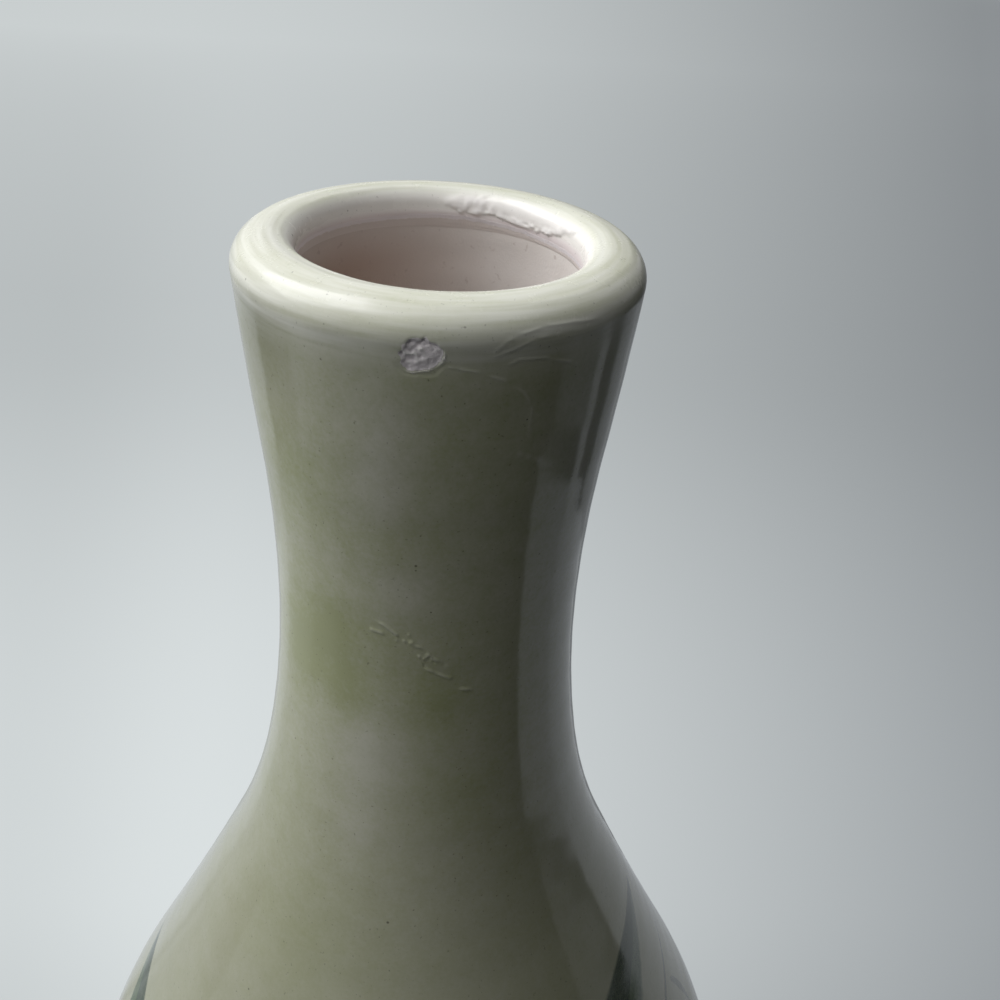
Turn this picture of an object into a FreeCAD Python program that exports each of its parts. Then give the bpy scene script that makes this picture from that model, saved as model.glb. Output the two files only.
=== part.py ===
import FreeCAD, Part

import math
import os

os.makedirs("parts", exist_ok=True)

# A tall bottle vase of pale pink earthenware, thrown in two sections and hand painted.
# Millimetres and degrees, +Z up, with the origin in the middle of the plane that it rests on.

# Heights of the finished vase, stacked from the ground up
heel_level = 9.0
heel_to_belly = 108.5
belly_to_shoulder = 102.6
shoulder_to_waist = 65.1
waist_to_lip = 50.2
lip_to_crown = 4.6

# Radii of the finished vase, and the width of the lip's roll each side of its crown
heel_radius = 50.0
belly_radius = 74.0
shoulder_radius = 36.7
waist_radius = 23.6
lip_radius = 27.5
lip_outer_roll = 4.9
lip_inner_roll = 3.0
bore_edge_drop = 2.3

# Lean of the outline from straight down, positive where the vase widens below
heel_lean = -30.0
shoulder_lean = 24.9
lip_lean = -4.8

# Clay walls under the glaze
neck_wall = 4.4
shoulder_wall = 5.4
body_wall = 6.4
floor_thickness = 8.0
floor_flat_radius = 26.0

# Turned foot ring
foot_ring_width = 7.0
foot_recess = 4.5
foot_recess_draft = 1.0
foot_bevel = 0.9

# Joint between the two thrown sections
seam_lap = 3.0
slip_thickness = 0.5

# Coats, and how far the ground and the glaze reach down inside the mouth past the bore's edge
ground_thickness = 0.3
glaze_thickness = 0.5
paint_thickness = 0.2
ground_reach = 1.8
glaze_reach = 0.6
bare_bore_run = 2.3

# Round chip on the lip, broken through the coats into the clay
chip_diameter = 5.8
chip_depth = 1.2
chip_angle = -94.0
chip_below_lip = 0.9

# Painted leaves: sprays round the belly, each at an angle about the axis, with its top at a share
# of the vase's height, and facing right or left
leaf_length = 66.0
line_width = 1.7
spray_angles = [-35.0, 98.0, 197.0, -78.0]
spray_top_shares = [0.614, 0.56, 0.532, 0.376]
spray_facings = [1.0, 1.0, -1.0, 1.0]

# Each leaf runs from its root to its tip, given across and up from the spray's top, and its
# upper edge, midrib and lower edge each bow to the left of that way by a share of its length
leaf_shares = [
    (-0.24, -0.74, 0.37, 0.00, 0.33, 0.20, 0.08),
    (-0.32, -0.79, -0.45, 0.03, 0.05, -0.02, -0.08),
    (-0.21, -0.85, 0.33, -0.50, 0.20, 0.13, 0.06),
    (-0.35, -0.91, -0.77, -0.39, -0.02, -0.09, -0.16),
    (-0.18, -0.95, 0.39, -0.88, 0.16, 0.09, 0.02),
    (-0.38, -1.02, -0.79, -0.91, -0.02, -0.10, -0.18),
]
line_shares = [
    (0.05, -0.41, 0.55, -0.29, 0.035),
    (0.39, -0.36, 0.50, -0.57, 0.03),
    (-0.26, -1.00, -0.12, -1.70, -0.06),
]

lip_level = heel_level + heel_to_belly + belly_to_shoulder + shoulder_to_waist + waist_to_lip
waist_level = lip_level - waist_to_lip
shoulder_level = waist_level - shoulder_to_waist
belly_level = shoulder_level - belly_to_shoulder
crown_level = lip_level + lip_to_crown
crown_radius = lip_radius - lip_outer_roll
bore_radius = crown_radius - lip_inner_roll
coat_thickness = ground_thickness + glaze_thickness
overrun = lip_radius

STRAIGHT_DOWN = 0.0
OUTWARD = 90.0
STRAIGHT_UP = 180.0
FULL_TURN = 360.0
LEAST_TURN = 0.01


def direction(heading):
    """Unit step along an outline: a heading of zero goes straight down, and 90 goes outward."""
    return math.sin(math.radians(heading)), -math.cos(math.radians(heading))


def offset(knots, distance):
    """Move each knot of an outline along its normal, which leaves tangent arcs tangent."""
    moved = []
    for radius, level, heading in knots:
        across, down = direction(heading)
        moved.append((radius - down * distance, level + across * distance, heading))
    return moved


def arc_joint(start, end):
    """The knot where two tangent arcs meet, on the way from one knot to the next."""
    run = (end[0] - start[0], end[1] - start[1])
    leave = direction(start[2])
    arrive = direction(end[2])
    along = sum(r * (a + b) for r, a, b in zip(run, leave, arrive))
    reach = run[0] ** 2 + run[1] ** 2
    bend = 2 * (1 - leave[0] * arrive[0] - leave[1] * arrive[1])
    arm = reach / (along + math.sqrt(along ** 2 + bend * reach))
    first = (start[0] + arm * leave[0], start[1] + arm * leave[1])
    second = (end[0] - arm * arrive[0], end[1] - arm * arrive[1])
    heading = math.degrees(math.atan2(second[0] - first[0], first[1] - second[1]))
    if heading < min(start[2], end[2]) - STRAIGHT_UP:
        heading += FULL_TURN
    return (first[0] + second[0]) / 2, (first[1] + second[1]) / 2, heading


def with_joints(knots):
    """Add the joint knot between each two knots, so that every span is a single arc."""
    spans = [knots[0]]
    for start, end in zip(knots, knots[1:]):
        spans += [arc_joint(start, end), end]
    return spans


def point(radius, level):
    return FreeCAD.Vector(radius, 0, level)


def arc_edges(knots):
    """Edges through the knots: a single arc for each span, or a line where it doesn't turn."""
    edges = []
    for start, end in zip(knots, knots[1:]):
        turn = math.radians(end[2] - start[2])
        if abs(turn) < math.radians(LEAST_TURN):
            edges.append(Part.LineSegment(point(*start[:2]), point(*end[:2])).toShape())
            continue
        sagitta = math.tan(turn / 4) / 2
        run = (end[0] - start[0], end[1] - start[1])
        middle = (
            (start[0] + end[0]) / 2 + run[1] * sagitta,
            (start[1] + end[1]) / 2 - run[0] * sagitta,
        )
        arc = Part.Arc(point(*start[:2]), point(*middle), point(*end[:2]))
        edges.append(arc.toShape())
    return edges


def line_edges(corners):
    return [Part.LineSegment(point(*a), point(*b)).toShape() for a, b in zip(corners, corners[1:])]


def turned(edges):
    """Solid of revolution about the axis from a closed outline in the XZ plane."""
    wire = Part.Wire(Part.__sortEdges__(edges))
    return Part.Face(wire).revolve(point(0, 0), FreeCAD.Vector(0, 0, 1), FULL_TURN)


def below_waist_knots():
    """The glazed outside from the waist to the heel, where the first joint is the neck's foot."""
    return with_joints([
        (waist_radius, waist_level, STRAIGHT_DOWN),
        (shoulder_radius, shoulder_level, shoulder_lean),
        (belly_radius, belly_level, STRAIGHT_DOWN),
        (heel_radius, heel_level, heel_lean),
    ])


def outside_knots():
    """The glazed outside, from the bore edge over the lip and down to the heel."""
    lip_and_neck = with_joints([
        (bore_radius, crown_level - bore_edge_drop, STRAIGHT_UP),
        (crown_radius, crown_level, OUTWARD),
        (lip_radius, lip_level, lip_lean),
        (waist_radius, waist_level, STRAIGHT_DOWN),
    ])
    return lip_and_neck + below_waist_knots()[1:]


def cavity_knots(clay_outside):
    """The inside of the clay, from the floor up to the bore of the mouth."""
    mouth, crown, lip, waist, shoulder, belly, heel = clay_outside[::2]
    lower_body = clay_outside[-2]
    walls = [
        (lower_body, body_wall), (belly, body_wall), (shoulder, shoulder_wall), (waist, neck_wall)
    ]
    wall_knots = []
    for knot, wall in walls:
        radius, level, heading = offset([knot], -wall)[0]
        wall_knots.append((radius, level, heading + STRAIGHT_UP))
    floor_edge = (floor_flat_radius, foot_recess + floor_thickness, OUTWARD)
    below_glaze = (mouth[0], mouth[1] - ground_reach - bare_bore_run, STRAIGHT_UP)
    return with_joints([floor_edge] + wall_knots + [below_glaze]) + [mouth]


def foot_corners(clay_heel):
    """The bare foot ring: the heel's slope, a bevel, the ring and its recess."""
    heel_point, level = clay_heel[0], clay_heel[1]
    side_run = (level - foot_bevel) * math.tan(math.radians(-heel_lean))
    bevel_top = heel_point - side_run
    ring_outer = bevel_top - foot_bevel
    ring_inner = ring_outer - foot_ring_width
    return [
        (heel_point, level),
        (bevel_top, foot_bevel),
        (ring_outer, 0),
        (ring_inner, 0),
        (ring_inner - foot_recess_draft, foot_recess),
        (0, foot_recess),
        (0, foot_recess + floor_thickness),
        (floor_flat_radius, foot_recess + floor_thickness),
    ]


def fired_clay():
    """The whole clay wall in one solid, before it is divided at the seam."""
    outside = offset(outside_knots(), -coat_thickness)
    edges = arc_edges(outside) + line_edges(foot_corners(outside[-1]))
    return turned(edges + arc_edges(cavity_knots(outside)))


def seam_corners(depth):
    """Corners of the stepped seam at the foot of the neck, or of its copy that far below it."""
    neck_foot = offset(below_waist_knots(), -coat_thickness)[1]
    wall = (neck_wall + shoulder_wall) / 2
    step = neck_foot[0] - wall / 2 + depth
    outer_level = neck_foot[1] - depth
    inner_level = outer_level - seam_lap
    return [(0, inner_level), (step, inner_level), (step, outer_level), (belly_radius, outer_level)]


def neck_section(clay):
    """The upper section, with the inner half of its wall reaching down as a spigot."""
    top = crown_level + overrun
    corners = seam_corners(0) + [(belly_radius, top), (0, top)]
    return clay.common(turned(line_edges(corners + corners[:1])))


def slip_band(clay):
    """The thin layer of slip that fills the seam."""
    corners = seam_corners(0) + seam_corners(slip_thickness)[::-1]
    return clay.common(turned(line_edges(corners + corners[:1])))


def layer(knots, outer_offset, inner_offset):
    """A thin layer that follows the outline between two offsets from it."""
    outer = offset(knots, outer_offset)
    inner = offset(knots, inner_offset)
    ends = [line_edges([outer[i][:2], inner[i][:2]]) for i in (0, -1)]
    return turned(arc_edges(outer) + arc_edges(inner) + ends[0] + ends[1])


def coat(reach, depth, thickness):
    """A coat under the finished surface, from the heel over the lip and down into the mouth."""
    mouth_edge = (bore_radius, crown_level - bore_edge_drop - reach, STRAIGHT_UP)
    return layer([mouth_edge] + outside_knots(), -depth, -depth - thickness)


def chip_cutter():
    """A shallow ball at the chip's place on the lip."""
    radius = (chip_diameter ** 2 / 4 + chip_depth ** 2) / (2 * chip_depth)
    middle = point(lip_radius + radius - chip_depth, lip_level - chip_below_lip)
    ball = Part.makeSphere(radius, middle)
    ball.rotate(point(0, 0), FreeCAD.Vector(0, 0, 1), chip_angle)
    return ball


def bowed_edge(root, tip, bow):
    """An arc from root to tip that bows to the left of the way from one to the other."""
    middle = (
        (root[0] + tip[0]) / 2 - (tip[1] - root[1]) * bow,
        (root[1] + tip[1]) / 2 + (tip[0] - root[0]) * bow,
    )
    return Part.Arc(*(FreeCAD.Vector(0, across, up) for across, up in (root, middle, tip))).toShape()


def stroke(film, spray, root, tip, bows):
    """One stroke of paint: the film inside two arcs that are drawn on the spray's upright plane."""
    angle, top, facing = spray
    ends = [(facing * across, top + up) for across, up in (root, tip)]
    outline = Part.Wire([bowed_edge(*ends, facing * bow) for bow in bows])
    prism = Part.Face(outline).extrude(FreeCAD.Vector(belly_radius + overrun, 0, 0))
    prism.rotate(point(0, 0), FreeCAD.Vector(0, 0, 1), angle)
    return film.common(prism)


def leaf_halves(film, spray, first_bow, second_bow):
    """One half of each leaf of a spray, between two of its three bowed lines."""
    halves = []
    for root_across, root_up, tip_across, tip_up, *bow_shares in leaf_shares:
        root = (root_across * leaf_length, root_up * leaf_length)
        tip = (tip_across * leaf_length, tip_up * leaf_length)
        halves.append(stroke(film, spray, root, tip, (bow_shares[first_bow], bow_shares[second_bow])))
    return halves


def fine_lines(film, spray):
    """The thin lines of a spray, as wide as one touch of a fine brush."""
    lines = []
    for root_across, root_up, tip_across, tip_up, bow_share in line_shares:
        root = (root_across * leaf_length, root_up * leaf_length)
        tip = (tip_across * leaf_length, tip_up * leaf_length)
        width_share = line_width / math.dist(root, tip)
        lines.append(stroke(film, spray, root, tip, (bow_share + width_share, bow_share)))
    return lines


clay = fired_clay()
slip = slip_band(clay)
neck = neck_section(clay)
chip = chip_cutter()
film = layer(below_waist_knots()[1:], paint_thickness, 0)
sprays = [
    (angle, share * crown_level, facing)
    for angle, share, facing in zip(spray_angles, spray_top_shares, spray_facings)
]

nodes = {
    "clay_body": clay.cut(neck).cut(slip),
    "clay_neck": neck.cut(chip),
    "luting_slip": slip,
    "white_ground": coat(ground_reach, glaze_thickness, ground_thickness).cut(chip),
    "green_glaze": coat(glaze_reach, 0, glaze_thickness).cut(chip),
    "dark_leaf_halves": Part.Compound([h for s in sprays for h in leaf_halves(film, s, 0, 1)]),
    "pale_leaf_halves": Part.Compound([h for s in sprays for h in leaf_halves(film, s, 1, 2)]),
    "fine_leaf_lines": Part.Compound([line for s in sprays for line in fine_lines(film, s)]),
}

for name, shape in nodes.items():
    shape.exportStep("parts/" + name + ".step")
    print(name, "solids", len(shape.Solids), "valid", shape.isValid(), "volume", round(shape.Volume, 1))
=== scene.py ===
import math

import bpy
import numpy as np
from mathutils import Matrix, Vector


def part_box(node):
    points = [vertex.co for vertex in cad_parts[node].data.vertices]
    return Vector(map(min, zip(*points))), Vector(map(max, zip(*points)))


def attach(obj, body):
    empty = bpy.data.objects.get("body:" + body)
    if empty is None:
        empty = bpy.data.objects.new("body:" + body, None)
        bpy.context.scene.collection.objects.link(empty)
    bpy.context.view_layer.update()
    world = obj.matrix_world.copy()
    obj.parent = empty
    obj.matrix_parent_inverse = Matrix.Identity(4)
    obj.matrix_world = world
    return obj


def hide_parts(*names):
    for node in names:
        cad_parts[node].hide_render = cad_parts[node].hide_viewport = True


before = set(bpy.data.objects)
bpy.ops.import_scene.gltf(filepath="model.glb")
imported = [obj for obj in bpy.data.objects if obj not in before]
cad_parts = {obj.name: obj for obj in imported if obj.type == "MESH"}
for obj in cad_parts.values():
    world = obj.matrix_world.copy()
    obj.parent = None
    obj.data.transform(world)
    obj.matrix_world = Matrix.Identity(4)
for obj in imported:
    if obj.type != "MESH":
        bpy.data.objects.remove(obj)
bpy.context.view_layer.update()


# Camera. It is held close over the mouth and looks down the neck, as in the photograph. Its
# distance from the lip sets the strong taper of the body below.
camera_place = (0.0, -0.13635, 0.38444)
camera_turn = (57.695, -3.709, -2.022)
camera = bpy.data.objects.new("camera", bpy.data.cameras.new("camera"))
camera.location = camera_place
camera.rotation_euler = [math.radians(turn) for turn in camera_turn]
camera.data.lens = 37.8
camera.data.clip_start = 0.01
bpy.context.scene.collection.objects.link(camera)
bpy.context.scene.camera = camera
bpy.context.scene.view_settings.view_transform = "Standard"


# Thrown body. The lower section is soft pink earthenware, thrown on a wheel. Finger rings wind up its bare
# inside, and the foot ring was cut with a turning tool. Its clay is painted darker as painted shade: deep in
# the bore and all below it, and on the bore's left, away from the window.
# Shapes are worked out in millimetres and become metres where a mesh is made.
MM = 0.001


def linear(hex_colour):
    """An sRGB hex colour as the linear values that a shader takes."""
    channels = [int(hex_colour[i:i + 2], 16) / 255 for i in (1, 3, 5)]
    return [c / 12.92 if c <= 0.04045 else ((c + 0.055) / 1.055) ** 2.4 for c in channels] + [1.0]


def add(tree, kind, inputs, **settings):
    """Adds a node with its settings. Each input gets a value, or a link from another node's output."""
    node = tree.nodes.new(kind)
    for name, value in settings.items():
        setattr(node, name, value)
    for name, value in inputs.items():
        if isinstance(value, bpy.types.NodeSocket):
            tree.links.new(value, node.inputs[name])
        else:
            node.inputs[name].default_value = value
    return node.outputs


def new_material(name):
    """An empty material, its node tree and the object coordinates that its patterns use."""
    material = bpy.data.materials.new(name)
    material.use_nodes = True
    material.node_tree.nodes.clear()
    place = add(material.node_tree, "ShaderNodeTexCoord", {})["Object"]
    return material, material.node_tree, place


def per_mm(size):
    """The noise scale that gives patches about this many millimetres across."""
    return 1 / (size * MM)


def arc_joint(start, end):
    """The knot where two tangent arcs meet, between two knots of an outline."""
    run = np.subtract(end[:2], start[:2])
    leave, arrive = (
        np.array((math.sin(math.radians(k[2])), -math.cos(math.radians(k[2])))) for k in (start, end)
    )
    along, reach, bend = run @ (leave + arrive), run @ run, 2 * (1 - leave @ arrive)
    arm = reach / (along + math.sqrt(along ** 2 + bend * reach))
    first, second = start[:2] + arm * leave, end[:2] - arm * arrive
    heading = math.degrees(math.atan2(second[0] - first[0], first[1] - second[1]))
    if heading < min(start[2], end[2]) - 180:
        heading += 360
    return (*(first + second) / 2, heading)


def with_joints(knots):
    """The knots of an outline with the joint between each two, so that every span is one arc."""
    spans = [knots[0]]
    for start, end in zip(knots, knots[1:]):
        spans += [arc_joint(start, end), end]
    return spans


def sampled(knots, step):
    """Rows of radius, level and heading along the arcs. A heading of 0 is straight down, 90 outward."""
    rows = []
    for start, end in zip(knots, knots[1:]):
        turn = math.radians(end[2] - start[2])
        chord = math.dist(start[:2], end[:2])
        share = np.arange(math.ceil(chord / step)) / math.ceil(chord / step)
        if abs(turn) < 0.0002:
            places = np.outer(1 - share, start[:2]) + np.outer(share, end[:2])
        else:
            bend = chord / (2 * math.sin(turn / 2))
            heading = math.radians(start[2]) + share * turn
            places = np.stack([
                start[0] + bend * (math.cos(math.radians(start[2])) - np.cos(heading)),
                start[1] + bend * (math.sin(math.radians(start[2])) - np.sin(heading)),
            ], axis=1)
        rows.append(np.column_stack([places, start[2] + share * (end[2] - start[2])]))
    return np.concatenate(rows + [[knots[-1]]])


def moved_out(rows, distance):
    """The rows moved along their outward normals."""
    heading = np.radians(rows[:, 2])
    shifted = rows.copy()
    shifted[:, 0] += distance * np.cos(heading)
    shifted[:, 1] += distance * np.sin(heading)
    return shifted


def turned_mesh(name, radii, levels, angles, closed):
    """A mesh turned about the axis. Its last row joins its first, or both end in a point."""
    rows, columns = radii.shape
    points = np.stack([radii * np.cos(angles), radii * np.sin(angles), levels], axis=-1) * MM
    points = points.reshape(-1, 3)
    across = np.arange(columns)
    next_across = (across + 1) % columns
    faces = []
    for row in range(rows if closed else rows - 1):
        here, below = row * columns, (row + 1) % rows * columns
        faces.append(np.stack([
            here + across, below + across, below + next_across, here + next_across,
        ], axis=1))
    faces = np.concatenate(faces).tolist()
    if not closed:
        for row, order in ((0, (across, next_across)), (rows - 1, (next_across, across))):
            tip = len(points)
            points = np.vstack([points, (0, 0, levels[row, 0] * MM)])
            ring = row * columns
            faces += [(tip, int(ring + a), int(ring + b)) for a, b in zip(*order)]
    mesh = bpy.data.meshes.new(name)
    mesh.from_pydata(points.tolist(), [], faces)
    mesh.shade_smooth()
    mesh.set_sharp_from_angle(angle=math.radians(45))
    piece = bpy.data.objects.new(name, mesh)
    bpy.context.scene.collection.objects.link(piece)
    return piece


glazed_low, glazed_high = (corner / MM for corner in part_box("green_glaze"))
body_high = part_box("clay_body")[1] / MM
neck_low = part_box("clay_neck")[0] / MM
slip_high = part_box("luting_slip")[1] / MM
coat_thickness = 0.8
bore_radius = 19.6
crown_level = glazed_high.z
lip_level = crown_level - 4.6
waist_level = lip_level - 50.2
shoulder_level = waist_level - 65.1
belly_level = shoulder_level - 102.6
heel_level = glazed_low.z
heel_lean = -30.0
glazed_outline = with_joints([
    (bore_radius, crown_level - 2.3, 180.0),
    (22.6, crown_level, 90.0),
    (27.5, lip_level, -4.8),
    (23.6, waist_level, 0.0),
    (36.7, shoulder_level, 24.9),
    (74.0, belly_level, 0.0),
    (50.0, heel_level, heel_lean),
])
clay_outside = moved_out(sampled(glazed_outline, 1.0), -coat_thickness)

body_wall, shoulder_wall, neck_wall = 6.4, 5.4, 4.4
floor_level, floor_flat_radius = 12.5, 26.0
recess_level, recess_draft = 4.5, 1.0
cavity_outline = [(floor_flat_radius, floor_level, 90.0)]
waist, shoulder, belly, above_heel = (glazed_outline[i] for i in (6, 8, 10, 11))
for knot, wall in (
    (above_heel, body_wall), (belly, body_wall), (shoulder, shoulder_wall), (waist, neck_wall),
):
    inward = np.array((math.cos(math.radians(knot[2])), math.sin(math.radians(knot[2]))))
    wall_radius, wall_level = knot[:2] - (wall + coat_thickness) * inward
    cavity_outline.append((wall_radius, wall_level, knot[2] + 180.0))
cavity_outline.append((bore_radius + coat_thickness, lip_level - 3.6, 180.0))
clay_inside = sampled(with_joints(cavity_outline), 0.9)

slip_thickness = 0.5
seam_step = slip_high.x - (neck_wall + shoulder_wall) / 4
seam_bottom = neck_low.z - slip_thickness
foot_heel = clay_outside[-1]
foot_bevel, foot_ring_width = 0.9, 7.0
foot_side = foot_heel[0] + (foot_heel[1] - foot_bevel) * math.tan(math.radians(heel_lean))
ring_outer = foot_side - foot_bevel
ring_inner = ring_outer - foot_ring_width
axis_gap = 0.8


def straight_rows(corners, step):
    """Rows along straight runs between corners, each with the heading of its run."""
    rows = []
    for start, end in zip(corners, corners[1:]):
        heading = math.degrees(math.atan2(end[0] - start[0], start[1] - end[1]))
        count = max(2, math.ceil(math.dist(start, end) / step))
        for share in np.linspace(0.02, 0.98, count):
            rows.append((*np.add(start, share * np.subtract(end, start)), heading))
    return np.array(rows)


ring_pitch = 6.5
ring_height = 0.22
tool_pitch = 0.9
tool_depth = 0.05


def finger_rings(rows, angles, height):
    """Height of the rings that the fingers left, which wind up the wall as a spiral."""
    length = np.concatenate([[0], np.cumsum(np.hypot(*np.diff(rows[:, :2], axis=0).T))])
    turns = length[:, None] / ring_pitch + angles / (2 * math.pi)
    uneven = 0.75 + 0.25 * np.sin(3 * angles + length[:, None] / 19)
    return height * uneven * np.sin(2 * math.pi * turns)


def surface(rows, heights):
    """Radii and levels of the rows, raised along their normals by the heights."""
    heading = np.radians(rows[:, 2])[:, None]
    radii = rows[:, :1] + heights * np.cos(heading)
    levels = rows[:, 1:2] + heights * np.sin(heading)
    return radii, levels


body_angles = np.linspace(0, 2 * math.pi, 160, endpoint=False)
body_floor = straight_rows([(axis_gap, floor_level), (floor_flat_radius, floor_level)], 0.9)
body_inside = np.vstack([body_floor, clay_inside[clay_inside[:, 1] < seam_bottom]])
body_seam = straight_rows([
    (body_inside[-1, 0], seam_bottom), (seam_step, seam_bottom), (seam_step, body_high.z),
    (clay_outside[clay_outside[:, 1] < body_high.z][0, 0], body_high.z),
], 0.8)
body_outside = clay_outside[(clay_outside[:, 1] < body_high.z) & (clay_outside[:, 2] < 60)]
foot_row_step = 0.35
body_foot = straight_rows([
    tuple(foot_heel[:2]), (foot_side, foot_bevel), (ring_outer, 0.0), (ring_inner, 0.0),
    (ring_inner - recess_draft, recess_level), (axis_gap, recess_level),
], foot_row_step)
body_rows = np.vstack([body_inside, body_seam, body_outside, body_foot])
body_heights = np.zeros((len(body_rows), len(body_angles)))
body_heights[:len(body_inside)] = finger_rings(body_inside, body_angles, ring_height)
foot_run = np.arange(len(body_foot))[:, None] * foot_row_step
tool_marks = np.sin(2 * math.pi * (foot_run / tool_pitch + body_angles / (2 * math.pi)))
body_heights[-len(body_foot):] = -tool_depth * (1 + tool_marks) / 2
thrown_body = turned_mesh("thrown_body", *surface(body_rows, body_heights), body_angles, False)

bisque_earthenware, tree, place = new_material("bisque_earthenware")
clay_light = linear("#E3DEDA")
clay_dark = linear("#D5CEC9")
clay_in_painted_shade = linear("#B39E91")
grog = linear("#A3928A")
clay_patches = add(tree, "ShaderNodeTexNoise", {"Vector": place, "Scale": per_mm(6), "Detail": 5.0})
clay_colour = add(tree, "ShaderNodeMixRGB", {
    "Fac": clay_patches["Fac"], "Color1": clay_dark, "Color2": clay_light,
})
clay_place = add(tree, "ShaderNodeSeparateXYZ", {"Vector": place})
# Painted shade: the clay is darker deep in the bore and below it, and darker on the bore's left, which the
# window's light does not reach.
deep_painted_shade = add(tree, "ShaderNodeMapRange", {
    "Value": clay_place["Z"], "From Min": 0.295, "From Max": 0.328, "To Min": 0.7, "To Max": 0.0,
}, interpolation_type="SMOOTHSTEP")["Result"]
under_coat = add(tree, "ShaderNodeMapRange", {
    "Value": clay_place["Z"], "From Min": 0.3285, "From Max": 0.3355, "To Min": 1.0, "To Max": 0.4,
}, interpolation_type="SMOOTHSTEP")["Result"]
left_painted_shade = add(tree, "ShaderNodeMapRange", {
    "Value": clay_place["X"], "From Min": -0.017, "From Max": 0.011, "To Min": under_coat, "To Max": 0.0,
}, interpolation_type="SMOOTHSTEP")["Result"]
bore_painted_shade = add(tree, "ShaderNodeMath", {0: deep_painted_shade, 1: left_painted_shade}, operation="MAXIMUM")[0]
clay_colour = add(tree, "ShaderNodeMixRGB", {
    "Fac": bore_painted_shade, "Color1": clay_colour["Color"], "Color2": clay_in_painted_shade,
})
grains = add(tree, "ShaderNodeTexNoise", {"Vector": place, "Scale": per_mm(1.2), "Detail": 2.0})
grog_specks = add(tree, "ShaderNodeMapRange", {
    "Value": grains["Fac"], "From Min": 0.66, "From Max": 0.76, "To Min": 0.0, "To Max": 0.4,
})
clay_colour = add(tree, "ShaderNodeMixRGB", {
    "Fac": grog_specks["Result"], "Color1": clay_colour["Color"], "Color2": grog,
})
tooth = add(tree, "ShaderNodeTexNoise", {"Vector": place, "Scale": per_mm(0.35), "Detail": 5.0})
clay_bump = add(tree, "ShaderNodeBump", {"Height": tooth["Fac"], "Distance": 0.06 * MM, "Strength": 0.8})
clay_shader = add(tree, "ShaderNodeBsdfPrincipled", {
    "Base Color": clay_colour["Color"], "Roughness": 0.88, "IOR": 1.5, "Normal": clay_bump["Normal"],
})
add(tree, "ShaderNodeOutputMaterial", {"Surface": clay_shader["BSDF"]})
thrown_body.data.materials.append(bisque_earthenware)
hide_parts("clay_body")
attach(thrown_body, "root")


# Thrown neck. The upper section is of the same clay, thrown apart from the body and set on it with
# a stepped seam. Its bore is bare below the mouth and was wiped smooth with a wet sponge. Towards the
# mouth the wall grows fuller, so that the coat's edge runs out flush with it.
def fade(value, start, end):
    """Rises smoothly from 0 at the start to 1 at the end."""
    share = np.clip((value - start) / (end - start), 0, 1)
    return share * share * (3 - 2 * share)


under_mouth = straight_rows([
    (bore_radius + coat_thickness, lip_level - 3.6), (bore_radius + coat_thickness, crown_level - 2.4),
], 0.5)
neck_inside = np.vstack([clay_inside[clay_inside[:, 1] > neck_low.z], under_mouth])
neck_mouth = moved_out(sampled(glazed_outline, 0.4), -coat_thickness)
neck_outside = neck_mouth[neck_mouth[:, 1] > slip_high.z]
neck_bottom = straight_rows([
    (neck_outside[-1, 0], slip_high.z), (seam_step, slip_high.z), (seam_step, neck_low.z),
    (neck_inside[0, 0], neck_low.z),
], 0.8)
neck_rows = np.vstack([neck_inside, neck_outside, neck_bottom])
neck_angles = np.linspace(0, 2 * math.pi, 180, endpoint=False)
neck_heights = np.zeros((len(neck_rows), len(neck_angles)))
inside_level = neck_inside[:, 1:2]
sponged = np.clip((lip_level - inside_level) / 60, 0.15, 0.7)
fuller_by = 1.05
fuller = fade(inside_level, crown_level - 70, crown_level - 6)
fuller = fuller * fade(inside_level, crown_level - 3.6, crown_level - 5.2)
bore_rings = sponged * finger_rings(neck_inside, neck_angles, ring_height)
neck_heights[:len(neck_inside)] = bore_rings + fuller_by * fuller
thrown_neck = turned_mesh("thrown_neck", *surface(neck_rows, neck_heights), neck_angles, True)
thrown_neck.data.materials.append(bisque_earthenware)
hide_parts("clay_neck")
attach(thrown_neck, "root")


# Luting slip. A ring of the same clay, thinned with water, that glued the two sections together and
# was fired with them. It is a little paler and smoother than the clay.
luting_clay, tree, place = new_material("luting_clay")
slip_noise = add(tree, "ShaderNodeTexNoise", {"Vector": place, "Scale": per_mm(2), "Detail": 3.0})
slip_colour = add(tree, "ShaderNodeMixRGB", {
    "Fac": slip_noise["Fac"], "Color1": linear("#C4AEA5"), "Color2": linear("#D2C0B8"),
})
slip_bump = add(tree, "ShaderNodeBump", {"Height": slip_noise["Fac"], "Distance": 0.05 * MM})
slip_shader = add(tree, "ShaderNodeBsdfPrincipled", {
    "Base Color": slip_colour["Color"], "Roughness": 0.8, "IOR": 1.5, "Normal": slip_bump["Normal"],
})
add(tree, "ShaderNodeOutputMaterial", {"Surface": slip_shader["BSDF"]})
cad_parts["luting_slip"].data.materials.clear()
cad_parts["luting_slip"].data.materials.append(luting_clay)


# Glazed skin. A white ground coat and a glossy sage glaze, fired into one skin that hugs the clay
# from the heel over the lip and 5 mm down inside the mouth, where its edge was wiped by hand.
def lumps(across, up, size, seed, loop=64):
    """Smooth random heights from -1 to 1, in lumps of this size. They repeat after this many lumps."""
    lattice = np.random.default_rng(seed).uniform(-1, 1, (loop, 64))
    across, up = np.broadcast_arrays(across / size, up / size)
    column, row = np.floor(across).astype(int), np.floor(up).astype(int)
    u, v = fade(across - column, 0, 1), fade(up - row, 0, 1)
    left, right, low, high = column % loop, (column + 1) % loop, row % 64, (row + 1) % 64
    below = lattice[left, low] * (1 - u) + lattice[right, low] * u
    above = lattice[left, high] * (1 - u) + lattice[right, high] * u
    return below * (1 - v) + above * v


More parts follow.
